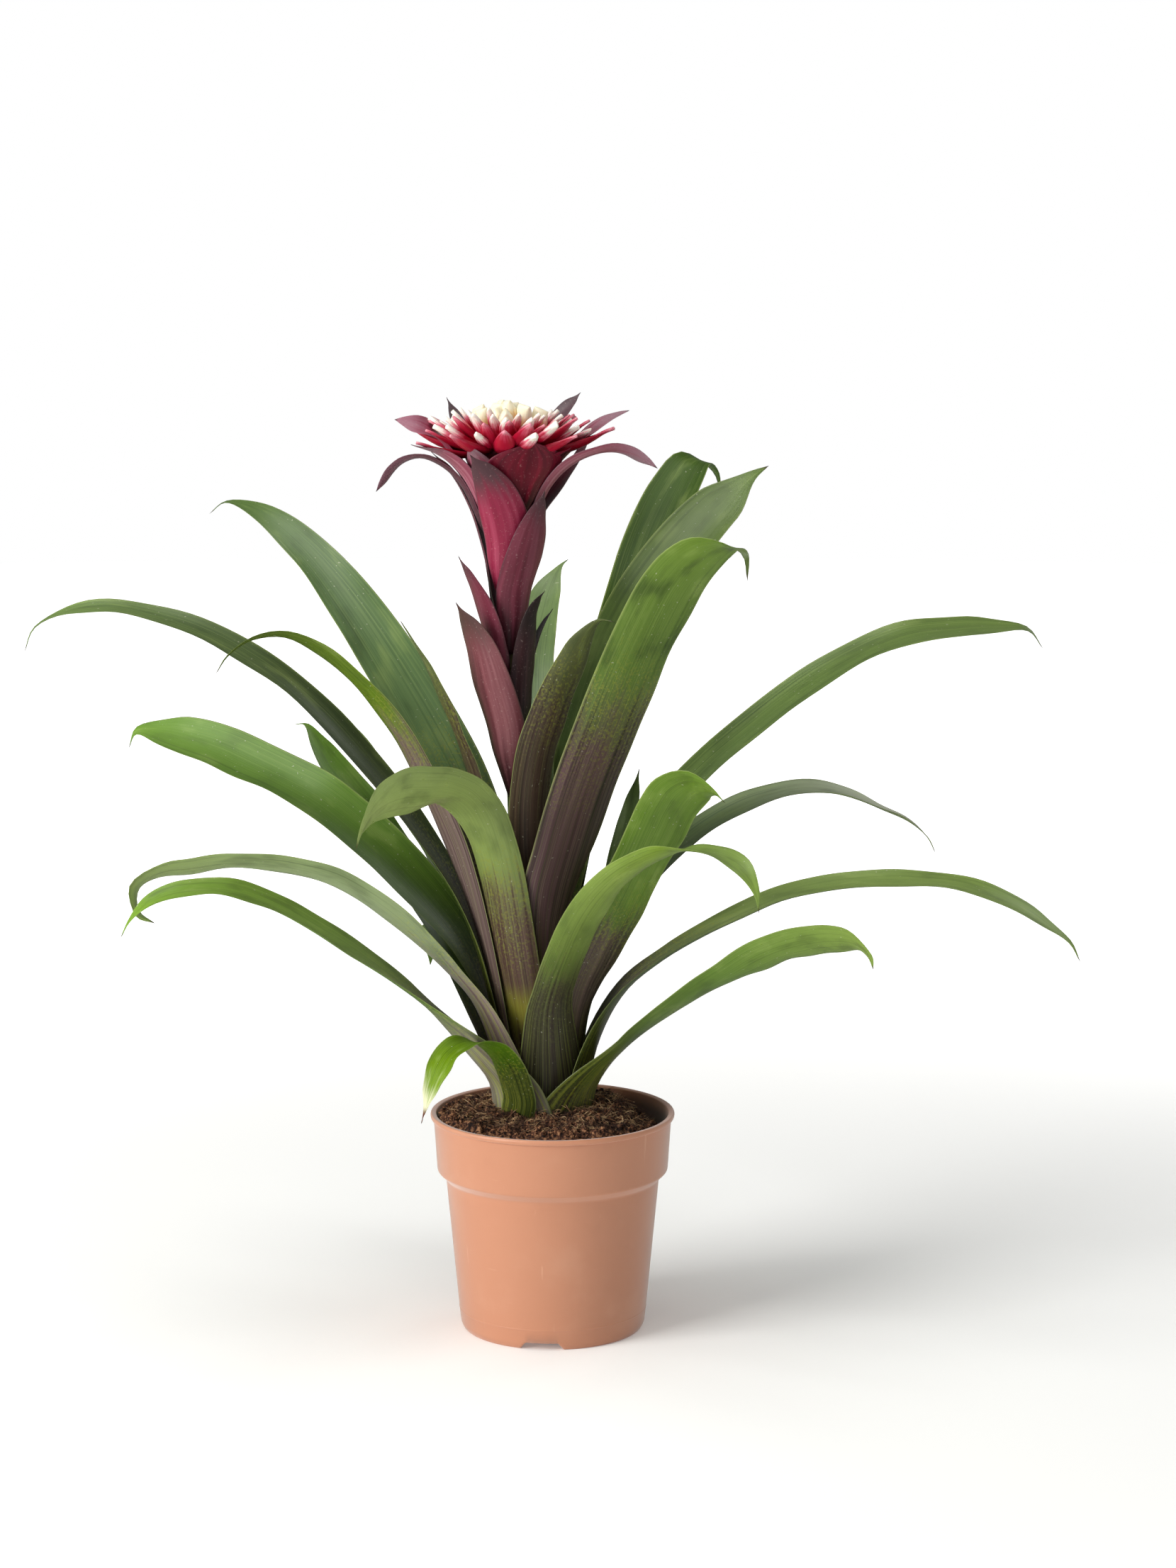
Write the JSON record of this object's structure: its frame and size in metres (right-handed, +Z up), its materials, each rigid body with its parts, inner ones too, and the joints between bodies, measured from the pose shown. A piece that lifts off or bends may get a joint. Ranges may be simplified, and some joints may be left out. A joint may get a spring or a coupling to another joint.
{
  "type": "potted plant",
  "caption": "Potted bromeliad with a rosette of arching strap leaves, a leaning flower stalk wrapped in red bracts, a white-tipped flower head and a plastic nursery pot.",
  "frame": {"origin": "middle of the pot's foot ring, on the surface that the pot stands on", "axes": "+Z up along the pot, +X along the widest spread of the leaves to the right, -Y towards the viewer"},
  "size_m": [0.5104, 0.3013, 0.457],
  "materials": {
    "pot_plastic": "satin",
    "peat": "matte",
    "stem": "satin",
    "leaf": "satin",
    "stalk_bract": "satin",
    "head_bract": "satin",
    "inner_bract": "satin",
    "bud": "satin"
  },
  "bodies": {
    "root": {"nursery_pot": "pot_plastic", "peat_soil": "peat", "crown_stem": "stem", "flower_stalk": "stem", "bud_cluster": "bud", "leaf_inner_front": "leaf", "leaf_inner_back": "leaf", "leaf_inner_left": "leaf", "leaf_right_front_upper": "leaf", "leaf_right_back_upper": "leaf", "leaf_left_upper": "leaf", "leaf_front_left_arched": "leaf", "leaf_left_narrow": "leaf", "leaf_back_right_upper": "leaf", "leaf_right_long": "leaf", "leaf_back_left_upper": "leaf", "leaf_front_right_broad": "leaf", "leaf_left_long": "leaf", "leaf_right_curled": "leaf", "leaf_front_right_arched": "leaf", "leaf_left_broad": "leaf", "leaf_back_right_low": "leaf", "leaf_back_left_middle": "leaf", "leaf_right_lower": "leaf", "leaf_left_low": "leaf", "leaf_left_lowest": "leaf", "leaf_right_low": "leaf", "leaf_back_left_folded": "leaf", "leaf_back_right_drooping": "leaf", "leaf_front_small": "leaf", "leaf_back_left_drooping": "leaf", "stalk_bract_front_left_low": "stalk_bract", "stalk_bract_back_low": "stalk_bract", "stalk_bract_front_right_low": "stalk_bract", "stalk_bract_right": "stalk_bract", "stalk_bract_left": "stalk_bract", "stalk_bract_front_right": "stalk_bract", "stalk_bract_back": "stalk_bract", "stalk_bract_back_left": "stalk_bract", "stalk_bract_front": "stalk_bract", "stalk_bract_back_right": "stalk_bract", "head_bract_left_curved": "head_bract", "head_bract_right_long": "head_bract", "head_bract_front_right": "head_bract", "head_bract_left": "head_bract", "head_bract_front_left_long": "head_bract", "head_bract_front_left": "head_bract", "head_bract_right_front": "head_bract", "head_bract_right": "head_bract", "head_bract_back_right": "head_bract", "head_bract_back_left": "head_bract", "head_bract_back": "head_bract", "inner_bract_1": "inner_bract", "inner_bract_2": "inner_bract", "inner_bract_3": "inner_bract", "inner_bract_4": "inner_bract", "inner_bract_5": "inner_bract", "inner_bract_6": "inner_bract", "inner_bract_7": "inner_bract", "inner_bract_8": "inner_bract"}
  },
  "joints": []
}
